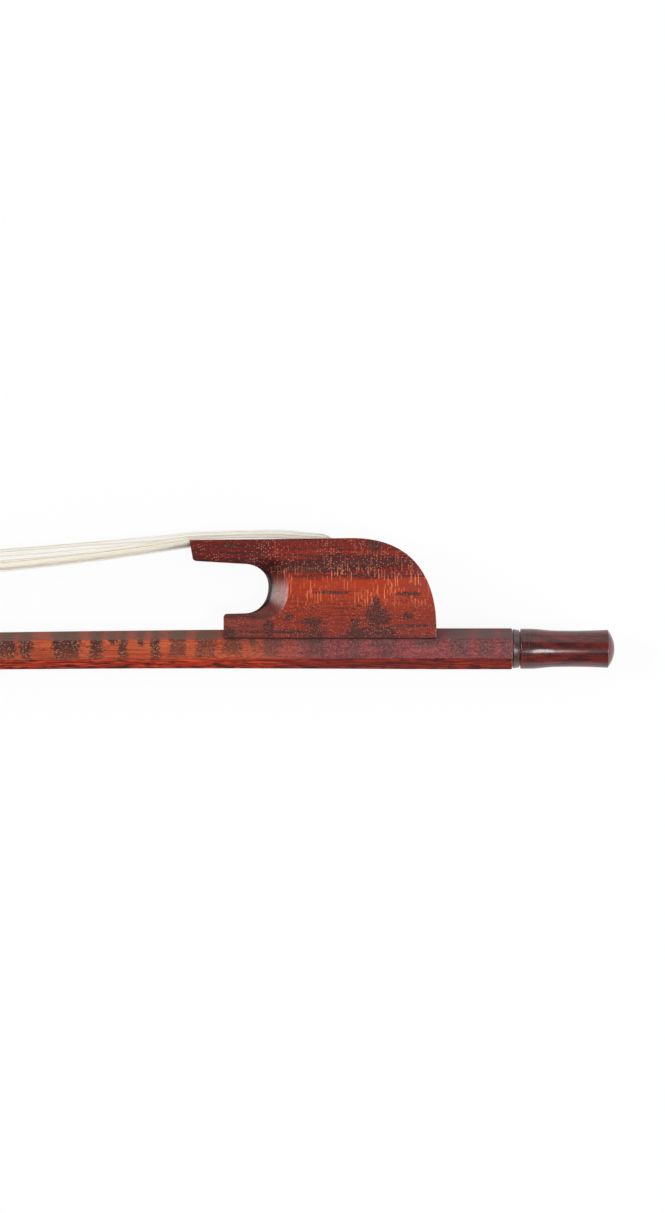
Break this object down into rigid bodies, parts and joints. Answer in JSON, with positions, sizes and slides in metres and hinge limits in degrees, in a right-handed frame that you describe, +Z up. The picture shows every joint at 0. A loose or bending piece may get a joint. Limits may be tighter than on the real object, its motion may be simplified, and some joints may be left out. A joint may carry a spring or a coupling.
{
  "type": "baroque violin bow",
  "caption": "Baroque violin bow with an octagonal snakewood stick, a swan-bill head, a screw-driven open frog, a turned button and slack horsehair.",
  "frame": {"origin": "a point on the frog's lower cheek, the flat face the bow lies on, 40 mm in front of the stick's butt end and 14 mm above its centre line", "axes": "+X along the stick towards the button, +Y towards the hair, +Z up across the bow"},
  "size_m": [0.6997, 0.0334, 0.0106],
  "materials": {
    "stick_snakewood": "oiled and polished snakewood, dark flecks",
    "frog_snakewood": "oiled and polished snakewood, fine light flecks",
    "button_snakewood": "dark snakewood, high polish",
    "collar_ebony": "polished black",
    "screw_steel": "filed steel",
    "eyelet_brass": "plain brass",
    "horsehair": "unbleached white horsehair",
    "binding_thread": "waxed linen thread",
    "plug_limewood": "cut limewood, unfinished"
  },
  "bodies": {
    "stick_body": {"stick": "stick_snakewood", "head_mortise_plug": "plug_limewood", "head_knot_binding": "binding_thread", "hair_hank": "horsehair"},
    "frog_body": {"frog": "frog_snakewood", "eyelet": "eyelet_brass", "frog_mortise_plug": "plug_limewood", "frog_knot_binding": "binding_thread"},
    "screw_body": {"adjusting_screw": "screw_steel", "button": "button_snakewood", "button_collar": "collar_ebony"}
  },
  "joints": [
    {"name": "screw_turn", "type": "hinge", "parent": "stick_body", "child": "screw_body", "pos_m": [0.04, -0.014, 0.0053], "axis": [-1, 0, 0], "range_deg": [-675, 3375]},
    {"name": "frog_slide", "type": "slide", "parent": "stick_body", "child": "frog_body", "axis": [1, 0, 0], "range_m": [-0.0015, 0.0075], "deforming": ["hair_hank"]}
  ],
  "couplings": [
    {"joint": "screw_turn", "follows": "frog_slide", "rad_per_m": 7854}
  ]
}
